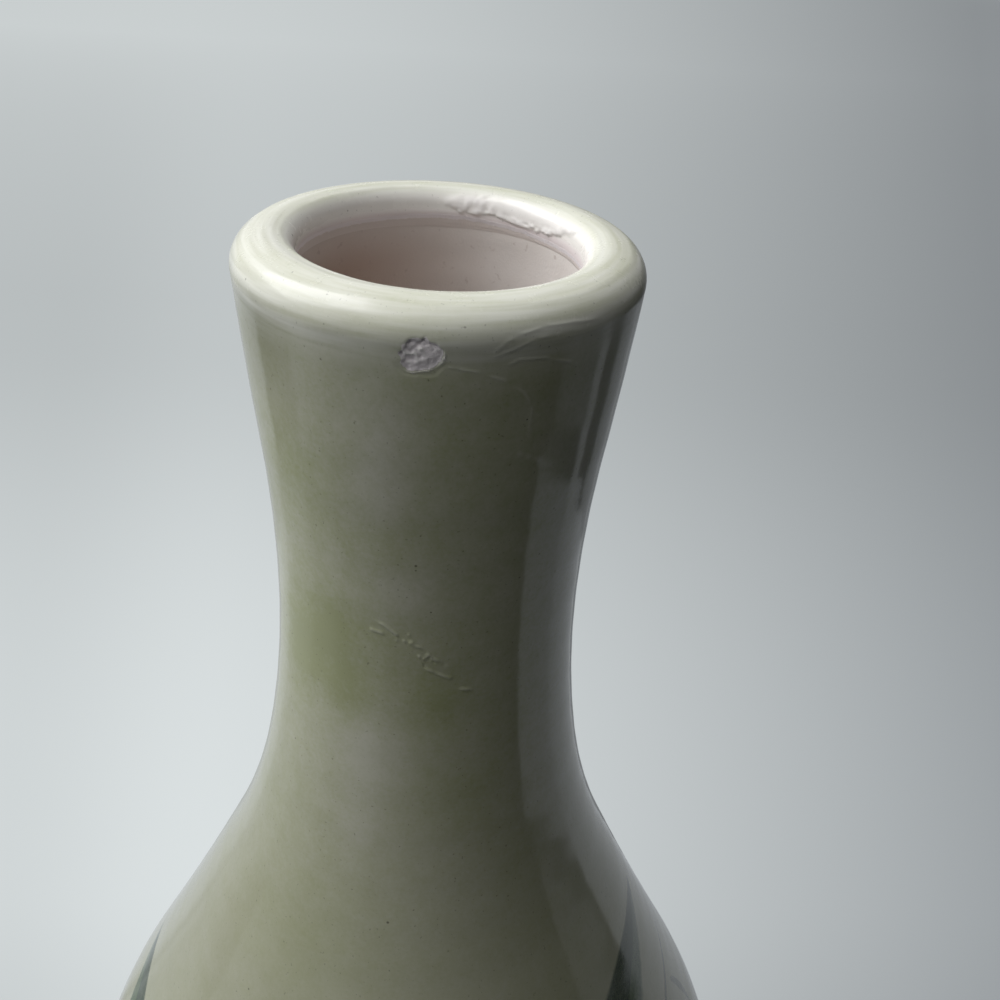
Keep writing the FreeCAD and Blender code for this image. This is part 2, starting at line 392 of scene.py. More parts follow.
def graded(places, steps):
    """Places along a line, picked so that their spacing follows the wanted steps."""
    count = np.concatenate([[0], np.cumsum(np.diff(places) / ((steps[1:] + steps[:-1]) / 2))])
    return np.interp(np.linspace(0, count[-1], math.ceil(count[-1]) + 1), count, places)


# Rows and columns of the skin lie closer round the lip, the chip, the scar and the coats' edges.
skin_reach = 5.6
mouth_end = (bore_radius, crown_level - skin_reach, 180.0)
fine = sampled([mouth_end] + glazed_outline, 0.05)
fine_length = np.concatenate([[0], np.cumsum(np.hypot(*np.diff(fine[:, :2], axis=0).T))])
fine_level, outer_side = fine[:, 1], fine[:, 2] < 90
row_steps = np.full(len(fine), 1.7)
row_steps[fine_level > 90] = 0.9
row_steps[fine_level > 222] = 1.2
row_steps[fine_level > 279] = 0.26
row_steps[fine_level > 295] = 0.7
row_steps[fine_level > 328] = 0.26
row_steps[outer_side & (fine_level > 331) & (fine_level < 337.6)] = 0.16
row_steps[~outer_side & (fine_level < crown_level - 2.6)] = 0.16
row_steps[fine_level < heel_level + 3] = 0.4
length = graded(fine_length, row_steps)
skin_rows = np.stack([np.interp(length, fine_length, fine[:, i]) for i in range(3)], axis=1)

all_angles = np.linspace(-180, 180, 7201)
angle_steps = np.full(len(all_angles), 0.8)
angle_steps[(all_angles > -122) & (all_angles < -34)] = 0.55
angle_steps[(all_angles > -102) & (all_angles < -86)] = 0.32
skin_degrees = graded(all_angles, angle_steps)[:-1]
skin_angles = np.radians(skin_degrees)

skin_shape = (len(skin_rows), len(skin_angles))
radius, level, heading = (skin_rows[:, i:i + 1] for i in range(3))
run = length[:, None]
on_outside = heading < 90


def run_at(outer_level):
    """Distance along the outline to a level on the outside."""
    return float(np.interp(-outer_level, -fine_level[outer_side], fine_length[outer_side]))


def beside(angle, outer_level):
    """Distances across and up from a place on the outside, in millimetres."""
    across = radius * (np.radians((skin_degrees - angle + 180) % 360 - 180))
    return across, np.broadcast_to(run_at(outer_level) - run, across.shape)


# The wheel and the hand left the wall a little uneven, which bends the reflections. The neck is a
# tenth of a millimetre fuller and the belly as much leaner.
wobble = (
    0.035 * np.sin(2 * skin_angles + level / 60 + 0.7)
    + 0.025 * np.sin(3 * skin_angles - level / 34)
    + 0.018 * np.sin(5 * skin_angles + level / 19 + 2.0)
    + 0.012 * np.sin(2 * math.pi * run / 8.5 + skin_angles)
    - 0.095 + 0.2 * fade(level, shoulder_level - 25, shoulder_level + 15)
)
ring = 2 * math.pi * 25
around = ring * skin_degrees / 360
lip_share = fade(level, lip_level - 5.5, lip_level + 1.5)
wobble = wobble + lip_share * 0.02 * lumps(around, run, ring / 46, 21, 46)

# Edges of the coats, wiped by hand, in the mouth and above the foot. In the mouth the lip curves on
# inward, and the glaze thins out and reaches down farthest on the back right.
coats_gone = 0.74
mouth_line = 4.75 + 0.5 * fade(abs(skin_degrees - 30), 60, 10) + 0.12 * np.sin(3 * skin_angles + 1)
mouth_line = mouth_line + 0.08 * lumps(around, 0, ring / 90, 5, 90)
below_crown = crown_level - level
wiped = np.where(on_outside, 0, fade(below_crown, mouth_line - 1.3, mouth_line))
thinned = 0.15 * wiped + np.where(on_outside, 0, 0.07 * fade(below_crown, mouth_line, skin_reach))
swell = np.where(on_outside, 0, 0.45 * fade(below_crown, 0.6, 4.0))
heel_line = heel_level + 1.3 + 0.35 * np.sin(2 * skin_angles) + 0.25 * np.sin(5 * skin_angles + 2)
heel_line = heel_line + 0.2 * lumps(around, 0, ring / 80, 6, 80)
heel_depth = np.where(on_outside, coats_gone * fade(level, heel_line + 0.9, heel_line), 0)
broken = np.maximum(coats_gone * wiped, heel_depth)
lowered = np.maximum(thinned, heel_depth)

# Round chip, knocked out of the lip through the glaze. Its floor is rough on the upper left, with
# bits of white ground left standing, and shallow and smoother on the lower right, where a thin pale
# rim of glaze is lifted. Under it a thin flake has come off the glaze.
chip_angle, chip_level, chip_radius, chip_tallness = -94.0, lip_level - 0.9, 2.65, 0.87
across, up = beside(chip_angle, chip_level)
spread, clock = np.hypot(across, up / chip_tallness), np.arctan2(up, across)
chip_edge = chip_radius * (
    1 + 0.05 * np.sin(2 * clock + 0.6) + 0.045 * np.sin(3 * clock + 2) + 0.03 * np.sin(5 * clock + 1)
)
chip_edge = chip_edge + 0.22 * lumps(across, up, 0.6, 11) + 0.14 * lumps(across, up, 0.3, 15)
rough_side = fade(across - 0.7 * up, 1.6, -1.0)
crumbs = 0.6 * lumps(across, up, 0.75, 12) + 0.6 * lumps(across, up, 0.36, 13)
smooth_side = fade(across - 1.2 * up, -0.8, 1.4)
chip_floor = 0.2 - 0.1 * smooth_side - (0.05 + 0.16 * rough_side) * crumbs
chip_wall = fade(spread, chip_edge, chip_edge - 0.8 + 0.45 * smooth_side)
chip_depth = np.where(on_outside, chip_wall * np.clip(chip_floor, 0.04, 0.5), 0)
burr = np.exp(-((spread - chip_edge + 0.05) / 0.14) ** 2) * fade(lumps(across, up, 0.9, 14), -0.7, 0.2)
burr = burr * fade(across - 1.2 * up, -1.4, 1.2)
flake = fade(spread, chip_edge + 0.8, chip_edge + 0.6) * fade(up, -0.9, -1.9) * (chip_depth < 0.02)
near_chip = np.where(on_outside & (spread < 6), 1, 0)
broken = np.maximum(broken, 0.4 * near_chip * fade(spread, chip_edge, chip_edge - 0.6))
lowered = np.maximum(lowered, chip_depth)
raised = swell + near_chip * (0.08 * burr - 0.05 * flake)
crumb_white = near_chip * fade(crumbs, 0.0, 0.5) * (0.3 + 0.7 * rough_side)
crumb_white = crumb_white * fade(chip_depth, 0.02, 0.06)
bared = np.maximum(crumb_white, 0.7 * near_chip * burr)

# Scar, a slanting line of ridges, bubbles and pits where a hair or a grain of grit burned out. Its
# lines go through places given by angle and level. A bubble has a size and a height too.
scar_height, scar_width = 0.16, 0.2
scar_lines = [
    [(-110.0, 292.4), (-104.5, 291.8), (-100.2, 290.4)],
    [(-109.0, 290.5), (-104.0, 290.2), (-100.4, 289.4)],
    [(-97.6, 289.4), (-91.8, 288.4), (-88.2, 286.6), (-82.2, 285.0)],
    [(-94.8, 287.8), (-90.9, 286.3), (-89.0, 287.3)],
    [(-92.0, 285.2), (-86.9, 283.9), (-81.6, 282.7)],
    [(-79.0, 280.6), (-74.0, 280.2)],
]
scar_bubbles = [
    (-95.2, 289.2, 0.34, 0.17), (-96.0, 290.6, 0.20, 0.09), (-90.9, 286.4, 0.26, 0.13),
    (-89.0, 286.5, 0.24, -0.13), (-90.7, 285.1, 0.20, -0.10), (-87.6, 285.8, 0.18, -0.10),
    (-84.0, 285.3, 0.18, -0.09), (-81.5, 282.9, 0.24, 0.08),
]


def ridge(points, width, seed):
    """A broken ridge along a line of places on the outside, from 0 to 1."""
    best = np.zeros(skin_shape)
    for (angle, start_level), (next_angle, next_level) in zip(points, points[1:]):
        x, y = beside(angle, start_level)
        run_x = radius * math.radians(next_angle - angle)
        run_y = next_level - start_level
        share = np.clip((x * run_x + y * run_y) / (run_x ** 2 + run_y ** 2), 0, 1)
        away = np.hypot(x - share * run_x, y - share * run_y)
        best = np.maximum(best, np.exp(-(away / width) ** 2))
    strength = fade(lumps(x, y, 1.1, seed), -0.8, 0.3)
    return np.where(on_outside, best * strength, 0)


scar = np.zeros(skin_shape)
for number, line in enumerate(scar_lines):
    scar = np.maximum(scar, ridge(line, scar_width, 31 + number))
raised = raised + scar_height * scar
for angle, outer_level, size, height in scar_bubbles:
    x, y = beside(angle, outer_level)
    raised = raised + np.where(on_outside, height * np.exp(-(x * x + y * y) / size ** 2), 0)

# Crawled glaze on the back of the inner lip: a thick white roll with a torn, crumbly lower edge.
inner_turn = radius * skin_angles
roll_angles = [14, 16, 21, 34, 44, 57, 66, 73, 82, 90]
roll_lower = np.interp(skin_degrees, roll_angles, [0.9, 1.0, 2.0, 3.3, 3.8, 3.6, 3.0, 3.4, 3.3, 2.4])
roll_upper = np.interp(skin_degrees, roll_angles, [0.9, 0.8, 0.8, 1.0, 0.8, 0.6, 0.6, 0.8, 0.9, 1.6])
crumbly = 0.6 * lumps(inner_turn, run, 0.8, 41) + 0.4 * lumps(inner_turn, run, 0.35, 42)
roll = fade(below_crown, roll_lower + 0.15 + 0.3 * crumbly, roll_lower - 0.25 + 0.3 * crumbly)
roll = roll * fade(below_crown, roll_upper - 0.5, roll_upper + 0.8)
roll = roll * fade(abs(skin_degrees - 52), 39, 33)
roll = np.where(on_outside, 0, roll)
torn = fade(abs(skin_degrees - 76), 10, 3) + fade(abs(skin_degrees - 22), 7, 2)
torn = np.clip(torn + fade(below_crown, roll_lower - 1.3, roll_lower - 0.5), 0, 1)
raised = raised + roll * (0.22 + 0.16 * torn * crumbly)
bared = np.maximum(bared, roll * (0.55 + 0.45 * torn * fade(crumbly, -0.2, 0.5)))
washed = np.where(on_outside, 0, fade(below_crown, 2.6, 4.0)) * (1 - roll)

# Fine curved scratches on the right of the lip and the neck.
scratch_height, scratch_width = 0.05, 0.18
scratch_lines = [
    [(-76.5, 334.6), (-74.5, 336.0), (-70.2, 336.8), (-63.3, 337.4), (-54.3, 337.2), (-44.4, 336.6)],
    [(-72.0, 333.2), (-70.0, 333.7), (-62.7, 333.5), (-52.6, 331.8)],
    [(-86.9, 333.1), (-79.6, 332.4), (-73.0, 331.1), (-67.4, 329.2), (-64.6, 327.2), (-64.2, 323.4)],
    [(-74.0, 336.0), (-76.0, 334.4), (-72.0, 335.0), (-66.0, 336.2), (-60.0, 336.2)],
    [(-68.0, 320.7), (-61.0, 319.0), (-54.9, 318.0)],
    [(-83.8, 303.8), (-79.8, 304.0)],
]
scratches = np.zeros(skin_shape)
for number, line in enumerate(scratch_lines):
    scratches = np.maximum(scratches, ridge(line, scratch_width, 51 + number))
raised = raised + scratch_height * scratches

# All heights together, held inside the vase's own box at the crown and the belly.
heights = wobble * fade(lowered, 0.5, 0.0) - lowered + raised
highest = np.where(on_outside, 0.25, 1.0) * fade(below_crown, 0.1, 1.2)
highest = highest * fade(abs(level - belly_level), 2, 8)
heights = np.minimum(heights, highest)
skin_radii, skin_levels = surface(skin_rows, heights)
back_rows = moved_out(skin_rows[::-4], -coat_thickness + 0.01)
back_radii, back_levels = surface(back_rows, np.zeros((1, len(skin_angles))))
glazed_skin = turned_mesh(
    "glazed_skin", np.vstack([skin_radii, back_radii]), np.vstack([skin_levels, back_levels]),
    skin_angles, True,
)


def keep_attribute(name, values):
    """Stores one number for each point of the skin, with none on its hidden back."""
    hidden = np.zeros(back_radii.shape)
    attribute = glazed_skin.data.attributes.new(name, "FLOAT", "POINT")
    shown = np.broadcast_to(values, skin_shape)
    attribute.data.foreach_set("value", np.vstack([shown, hidden]).ravel())


keep_attribute("broken_depth", broken)
keep_attribute("scratched", np.maximum(scratches, 0.8 * scar))
keep_attribute("bared", bared)
keep_attribute("washed", washed)
keep_attribute("lip_share", np.where(on_outside, lip_share, 1))
keep_attribute("inside_mouth", fade(heading, 105, 165) * np.where(on_outside, 0, 1))

# Clouds in the glaze: greener, greyer and darker places, by angle, level, size and strength. The glaze is
# darker towards the belly, and patches under the left of the lip are painted shade, where the lip shades the
# neck.
green_patches = [
    (-138, 312, 6.0, 0.25), (-143, 281, 6.0, 0.55), (-125, 289, 5.0, 0.4), (-119, 277, 3.5, 0.3),
    (-85, 278, 5.0, 0.4), (-55, 243, 8.0, 0.3), (-73, 258, 7.0, 0.25), (-124, 225, 9.0, 0.2),
]
grey_patches = [
    (-105, 315, 5.0, 0.45), (-109, 267, 5.5, 0.5), (-111, 252, 4.5, 0.35), (-102, 324, 4.0, 0.25),
    (-98, 298, 4.0, 0.2), (-61, 339, 5.0, 0.2),
]
# Darker patches by angle, level, size and strength. Those under the left of the lip are painted shade of the
# lip. The one on the crown's left is partly greener glaze and partly painted shade where the window lights
# the crown.
darker_and_shade_patches = [
    (-140, 333, 6.5, 0.5), (-146, 326, 7.0, 0.25), (-112, 333, 4.0, 0.2), (-170, 339.9, 7.0, 0.5),
    (-148, 335.5, 4.0, 0.4),
]
sage_share = 0.32 + 0.22 * fade(level, shoulder_level + 6, waist_level - 8)
sage_share = sage_share + 0.16 * lumps(around, run, ring / 9, 61, 9)
sage_share = sage_share + 0.08 * lumps(around, run, ring / 18, 62, 18)
for patches, sign in ((green_patches, 1), (grey_patches, -1)):
    for angle, outer_level, size, strength in patches:
        x, y = beside(angle, outer_level)
        sage_share = sage_share + sign * strength * np.exp(-(x * x + 0.6 * y * y) / size ** 2)
keep_attribute("sage_share", sage_share)
darker_and_painted_shade = (0.07 + 0.64 * fade(level, 305, 205)) * (1 - lip_share) * np.where(on_outside, 1, 0)
for angle, outer_level, size, strength in darker_and_shade_patches:
    x, y = beside(angle, outer_level)
    darker_and_painted_shade = darker_and_painted_shade + strength * np.exp(-(x * x + 1.5 * y * y) / size ** 2)
keep_attribute("darker_and_painted_shade", darker_and_painted_shade)
keep_attribute("run", run * MM)

# Painted leaves, brushed on with a two-toned brush before the glaze: each has a dark half and a
# pale half, with fine lines beside them. They show through the glaze.
leaf_length = 66.0
spray_angles = [-35.0, 98.0, 197.0, -78.0]
spray_top_shares = [0.614, 0.56, 0.532, 0.376]
spray_facings = [1.0, 1.0, -1.0, 1.0]
leaf_shares = [
    (-0.24, -0.74, 0.37, 0.00, 0.33, 0.20, 0.08),
    (-0.32, -0.79, -0.45, 0.03, 0.05, -0.02, -0.08),
    (-0.21, -0.85, 0.33, -0.50, 0.20, 0.13, 0.06),
    (-0.35, -0.91, -0.77, -0.39, -0.02, -0.09, -0.16),
    (-0.18, -0.95, 0.39, -0.88, 0.16, 0.09, 0.02),
    (-0.38, -1.02, -0.79, -0.91, -0.02, -0.10, -0.18),
]
line_shares = [
    (0.05, -0.41, 0.55, -0.29, 0.035),
    (0.39, -0.36, 0.50, -0.57, 0.03),
    (-0.26, -1.00, -0.12, -1.70, -0.06),
]


def arc_height(share, bow):
    """How far an arc stands off its chord, both as shares of the chord, with this bow in the middle."""
    if abs(bow) < 0.005:
        return 4 * bow * share * (1 - share)
    bend = (0.25 + bow * bow) / (2 * abs(bow))
    rise = np.sqrt(np.maximum(bend ** 2 - (share - 0.5) ** 2, 0))
    return math.copysign(1, bow) * (rise - bend + abs(bow))


def chord_places(spray, root_across, root_up, tip_across, tip_up):
    """Place along and to the left of a stroke's chord, as shares of it, with its length."""
    angle, top, facing = spray
    turn = skin_angles - math.radians(angle)
    x = facing * radius * np.sin(turn) - root_across * leaf_length
    y = level - top - root_up * leaf_length
    run_x, run_y = (tip_across - root_across) * leaf_length, (tip_up - root_up) * leaf_length
    chord = math.hypot(run_x, run_y)
    along = (x * run_x + y * run_y) / chord ** 2
    left = (y * run_x - x * run_y) / chord ** 2
    behind = np.where((np.cos(turn) < 0) | ~on_outside, 1.0, 0.0)
    return along, left - 9 * behind, chord


def inside_by(along, left, first_bow, second_bow, chord):
    """Millimetres inside the space between two arcs, negative outside it."""
    share = np.clip(along, 0, 1)
    beyond = np.abs(along - share)
    gap = np.minimum(arc_height(share, first_bow) - left, left - arc_height(share, second_bow))
    return (gap - beyond) * chord


far_off = np.full(skin_shape, -20.0)
dark_leaf, pale_leaf, fine_line = far_off.copy(), far_off.copy(), far_off.copy()
line_width = 0.9
for angle, top_share, facing in zip(spray_angles, spray_top_shares, spray_facings):
    spray = (angle, top_share * crown_level, facing)
    for *ends, upper, midrib, lower in leaf_shares:
        along, left, chord = chord_places(spray, *ends)
        dark_leaf = np.maximum(dark_leaf, inside_by(along, left, upper, midrib, chord))
        pale_leaf = np.maximum(pale_leaf, inside_by(along, left, midrib, lower, chord))
    for *ends, bow in line_shares:
        along, left, chord = chord_places(spray, *ends)
        width_share = line_width / chord
        fine_line = np.maximum(fine_line, inside_by(along, left, bow + width_share, bow, chord))
keep_attribute("dark_leaf", dark_leaf)
keep_attribute("pale_leaf", pale_leaf)
keep_attribute("fine_line", fine_line)

# The finish. Sage glaze over a white ground gives a soft gloss, cloudy where it pooled or ran thin,
# with sharp reflections on the neck and a satin bloom on the lip.
sage_glaze, tree, place = new_material("sage_glaze")
glaze_cream = linear("#C9C9BA")
glaze_sage = linear("#A5AA82")
glaze_dark_and_shade = linear("#82846D")
glaze_pale = linear("#DADBD0")
glaze_blush = linear("#EDEBE6")
ground_white = linear("#EDEAE8")
chip_lilac = linear("#EAE4E6")
wash_lilac = linear("#E3DADA")
bare_clay = linear("#D8CFCA")
leaf_dark_green = linear("#1A3113")
leaf_pale_green = linear("#29461E")
pinhole_brown = linear("#4A463C")

# Patterns: clouds, a finer grain, and streaks that the wheel drew out round the lip.
mottle = add(tree, "ShaderNodeTexNoise", {
    "Vector": place, "Scale": per_mm(3.2), "Detail": 5.0, "Roughness": 0.65,
})["Fac"]
grain = add(tree, "ShaderNodeTexNoise", {
    "Vector": place, "Scale": per_mm(0.7), "Detail": 3.0, "Roughness": 0.7,
})["Fac"]
sides = add(tree, "ShaderNodeSeparateXYZ", {"Vector": place})
down_wall = add(tree, "ShaderNodeAttribute", {}, attribute_name="run")["Fac"]
down_wall = add(tree, "ShaderNodeMath", {0: down_wall, 1: 14.0}, operation="MULTIPLY")[0]
drawn_out = add(tree, "ShaderNodeCombineXYZ", {"X": sides["X"], "Y": sides["Y"], "Z": down_wall})["Vector"]
streaks = add(tree, "ShaderNodeTexNoise", {"Vector": drawn_out, "Scale": per_mm(16), "Detail": 3.0})["Fac"]

# Colour of the glaze, from cream where it ran thin to sage where it pooled.
sage = add(tree, "ShaderNodeAttribute", {}, attribute_name="sage_share")["Fac"]
cloudy = add(tree, "ShaderNodeMath", {0: mottle, 1: 0.8, 2: -0.4}, operation="MULTIPLY_ADD")[0]
cloudy = add(tree, "ShaderNodeMath", {0: sage, 1: cloudy}, operation="ADD")[0]
fine_cloud = add(tree, "ShaderNodeMath", {0: grain, 1: 0.7, 2: -0.35}, operation="MULTIPLY_ADD")[0]
cloudy = add(tree, "ShaderNodeMath", {0: cloudy, 1: fine_cloud}, operation="ADD")[0]
colour = add(tree, "ShaderNodeMixRGB", {"Fac": cloudy, "Color1": glaze_cream, "Color2": glaze_sage})["Color"]
# Darker towards the belly, with painted shade under the left of the lip.
darker_and_painted_shade = add(tree, "ShaderNodeAttribute", {}, attribute_name="darker_and_painted_shade")["Fac"]
colour = add(tree, "ShaderNodeMixRGB", {"Fac": darker_and_painted_shade, "Color1": colour, "Color2": glaze_dark_and_shade})["Color"]
on_lip = add(tree, "ShaderNodeAttribute", {}, attribute_name="lip_share")["Fac"]
lip_streaks = add(tree, "ShaderNodeMath", {0: streaks, 1: 1.8, 2: -0.2}, operation="MULTIPLY_ADD")[0]
lip_pale = add(tree, "ShaderNodeMath", {0: lip_streaks, 1: on_lip}, operation="MULTIPLY")[0]
colour = add(tree, "ShaderNodeMixRGB", {"Fac": lip_pale, "Color1": colour, "Color2": glaze_pale})["Color"]
in_mouth = add(tree, "ShaderNodeAttribute", {}, attribute_name="inside_mouth")["Fac"]
colour = add(tree, "ShaderNodeMixRGB", {"Fac": in_mouth, "Color1": colour, "Color2": glaze_blush})["Color"]
washed = add(tree, "ShaderNodeAttribute", {}, attribute_name="washed")["Fac"]
colour = add(tree, "ShaderNodeMixRGB", {"Fac": washed, "Color1": colour, "Color2": wash_lilac})["Color"]

# Painted leaves under the glaze, with soft uneven edges where the paint bled into it.
bleed = add(tree, "ShaderNodeMath", {0: mottle, 1: 1.6, 2: -0.8}, operation="MULTIPLY_ADD")[0]
bristles = add(tree, "ShaderNodeMapRange", {
    "Value": grain, "From Min": 0.3, "From Max": 0.7, "To Min": 0.8, "To Max": 1.0,
})["Result"]
for layer, bleed_share, start, end, strength, paint in (
    ("pale_leaf", 1.0, -1.3, 0.3, 0.92, leaf_pale_green),
    ("dark_leaf", 0.5, -1.2, 0.1, 1.0, leaf_dark_green),
    ("fine_line", 0.2, -0.5, 0.05, 0.85, leaf_dark_green),
):
    inside = add(tree, "ShaderNodeAttribute", {}, attribute_name=layer)["Fac"]
    inside = add(tree, "ShaderNodeMath", {0: bleed, 1: bleed_share, 2: inside}, operation="MULTIPLY_ADD")[0]
    covered = add(tree, "ShaderNodeMapRange", {
        "Value": inside, "From Min": start, "From Max": end, "To Max": strength,
    }, interpolation_type="SMOOTHSTEP")["Result"]
    covered = add(tree, "ShaderNodeMath", {0: covered, 1: bristles}, operation="MULTIPLY")[0]
    colour = add(tree, "ShaderNodeMixRGB", {"Fac": covered, "Color1": colour, "Color2": paint})["Color"]

# Fine specks all over, and pinholes: a few at places given by angle, level and size and, rarely,
# one anywhere.
specks = add(tree, "ShaderNodeTexNoise", {"Vector": place, "Scale": per_mm(0.5), "Detail": 1.0})["Fac"]
specks = add(tree, "ShaderNodeMapRange", {
    "Value": specks, "From Min": 0.7, "From Max": 0.82, "To Max": 0.5,
})["Result"]
cells = add(tree, "ShaderNodeTexVoronoi", {"Vector": place, "Scale": per_mm(6.5), "Randomness": 1.0})
holes = add(tree, "ShaderNodeMapRange", {
    "Value": cells["Distance"], "From Min": 0.02, "From Max": 0.04, "To Min": 0.7, "To Max": 0.0,
})["Result"]
rare = add(tree, "ShaderNodeTexNoise", {"Vector": place, "Scale": per_mm(11), "Detail": 1.0})["Fac"]
rare = add(tree, "ShaderNodeMapRange", {"Value": rare, "From Min": 0.54, "From Max": 0.6})["Result"]
holes = add(tree, "ShaderNodeMath", {0: holes, 1: rare}, operation="MULTIPLY")[0]
holes = add(tree, "ShaderNodeMath", {0: holes, 1: specks}, operation="MAXIMUM")[0]
pinhole_places = [
    (-148.9, 337.3, 0.26), (-98.8, 236.5, 0.34), (-94.3, 302.1, 0.2), (-89.1, 294.9, 0.22),
    (-97.0, 297.3, 0.18), (-118.1, 336.4, 0.22), (-143.7, 261.6, 0.22), (-65.4, 325.2, 0.18),
    (-123.2, 336.0, 0.16),
]
for angle, outer_level, size in pinhole_places:
    hole_radius = float(np.interp(-outer_level, -fine_level[outer_side], fine[outer_side, 0]))
    turn = math.radians(angle)
    middle = (hole_radius * math.cos(turn) * MM, hole_radius * math.sin(turn) * MM, outer_level * MM)
    away = add(tree, "ShaderNodeVectorMath", {0: place, 1: middle}, operation="DISTANCE")["Value"]
    hole = add(tree, "ShaderNodeMapRange", {
        "Value": away, "From Min": 0.5 * size * MM, "From Max": size * MM, "To Min": 0.8, "To Max": 0.0,
    })["Result"]
    holes = add(tree, "ShaderNodeMath", {0: holes, 1: hole}, operation="MAXIMUM")[0]
colour = add(tree, "ShaderNodeMixRGB", {"Fac": holes, "Color1": colour, "Color2": pinhole_brown})["Color"]

# Scratches and bubbles are paler, and where a coat is broken its white ground or the clay shows.
scratched = add(tree, "ShaderNodeAttribute", {}, attribute_name="scratched")["Fac"]
scratched = add(tree, "ShaderNodeMath", {0: scratched, 1: 0.35}, operation="MULTIPLY")[0]
colour = add(tree, "ShaderNodeMixRGB", {"Fac": scratched, "Color1": colour, "Color2": glaze_pale})["Color"]
depth = add(tree, "ShaderNodeAttribute", {}, attribute_name="broken_depth")["Fac"]
depth = add(tree, "ShaderNodeMath", {0: fine_cloud, 1: 0.35, 2: depth}, operation="MULTIPLY_ADD")[0]
through_glaze = add(tree, "ShaderNodeMapRange", {
    "Value": depth, "From Min": 0.1, "From Max": 0.18,
})["Result"]
colour = add(tree, "ShaderNodeMixRGB", {
    "Fac": through_glaze, "Color1": colour, "Color2": chip_lilac,
})["Color"]
through_ground = add(tree, "ShaderNodeMapRange", {
    "Value": depth, "From Min": 0.55, "From Max": 0.68,
})["Result"]
colour = add(tree, "ShaderNodeMixRGB", {
    "Fac": through_ground, "Color1": colour, "Color2": bare_clay,
})["Color"]
white_bits = add(tree, "ShaderNodeAttribute", {}, attribute_name="bared")["Fac"]
colour = add(tree, "ShaderNodeMixRGB", {"Fac": white_bits, "Color1": colour, "Color2": ground_white})["Color"]

# Gloss: clear on the neck and the body, satin on the lip, and matt where the coats are broken.
roughness = add(tree, "ShaderNodeMapRange", {
    "Value": mottle, "From Min": 0.3, "From Max": 0.7, "To Min": 0.07, "To Max": 0.12,
})["Result"]
satin = add(tree, "ShaderNodeMapRange", {
    "Value": mottle, "From Min": 0.3, "From Max": 0.7, "To Min": 0.06, "To Max": 0.2,
})["Result"]
roughness = add(tree, "ShaderNodeMath", {0: on_lip, 1: satin, 2: roughness}, operation="MULTIPLY_ADD")[0]
roughness = add(tree, "ShaderNodeMath", {0: through_glaze, 1: 0.4, 2: roughness}, operation="MULTIPLY_ADD")[0]
roughness = add(tree, "ShaderNodeMath", {0: washed, 1: 0.35, 2: roughness}, operation="MULTIPLY_ADD")[0]
peel = add(tree, "ShaderNodeMath", {0: grain, 1: 0.3, 2: mottle}, operation="MULTIPLY_ADD")[0]
lip_lines = add(tree, "ShaderNodeMath", {0: streaks, 1: on_lip}, operation="MULTIPLY")[0]
peel = add(tree, "ShaderNodeMath", {0: lip_lines, 1: 1.4, 2: peel}, operation="MULTIPLY_ADD")[0]
peel_bump = add(tree, "ShaderNodeBump", {"Height": peel, "Distance": 0.02 * MM, "Strength": 1.0})["Normal"]
rubble = add(tree, "ShaderNodeTexNoise", {
    "Vector": place, "Scale": per_mm(0.3), "Detail": 4.0, "Roughness": 0.7,
})["Fac"]
rubble = add(tree, "ShaderNodeMath", {0: rubble, 1: through_glaze}, operation="MULTIPLY")[0]
rubble_bump = add(tree, "ShaderNodeBump", {
    "Height": rubble, "Distance": 0.06 * MM, "Strength": 1.0, "Normal": peel_bump,
})["Normal"]
glaze_shader = add(tree, "ShaderNodeBsdfPrincipled", {
    "Base Color": colour, "Roughness": roughness, "IOR": 1.5, "Normal": rubble_bump,
})
add(tree, "ShaderNodeOutputMaterial", {"Surface": glaze_shader["BSDF"]})
glazed_skin.data.materials.append(sage_glaze)
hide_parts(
    "green_glaze", "white_ground", "dark_leaf_halves", "pale_leaf_halves", "fine_leaf_lines"
)
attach(glazed_skin, "root")


# Floor. A plain pale sheet, painted brighter behind and to the left as painted light from the window. The
# camera sees it pale all over. To the vase it is pale behind, dim at the sides and dark in front, where the
# room lay in shade.
sheet_radius, sheet_sides = 7.0, 128
sheet_turns = [2 * math.pi * i / sheet_sides for i in range(sheet_sides)]
floor_mesh = bpy.data.meshes.new("studio_floor")
floor_mesh.from_pydata(
    [(sheet_radius * math.cos(turn), sheet_radius * math.sin(turn), 0) for turn in sheet_turns],
    [], [tuple(range(sheet_sides))],
)
studio_floor = bpy.data.objects.new("studio_floor", floor_mesh)
bpy.context.scene.collection.objects.link(studio_floor)
pale_sheet, tree, place = new_material("pale_sheet")
on_sheet = add(tree, "ShaderNodeSeparateXYZ", {"Vector": place})
reach = add(tree, "ShaderNodeVectorMath", {0: place}, operation="LENGTH")["Value"]
bearing = add(tree, "ShaderNodeMath", {0: on_sheet["Y"], 1: on_sheet["X"]}, operation="ARCTAN2")[0]
bearing = add(tree, "ShaderNodeMath", {0: bearing, 1: 180 / math.pi}, operation="MULTIPLY")[0]

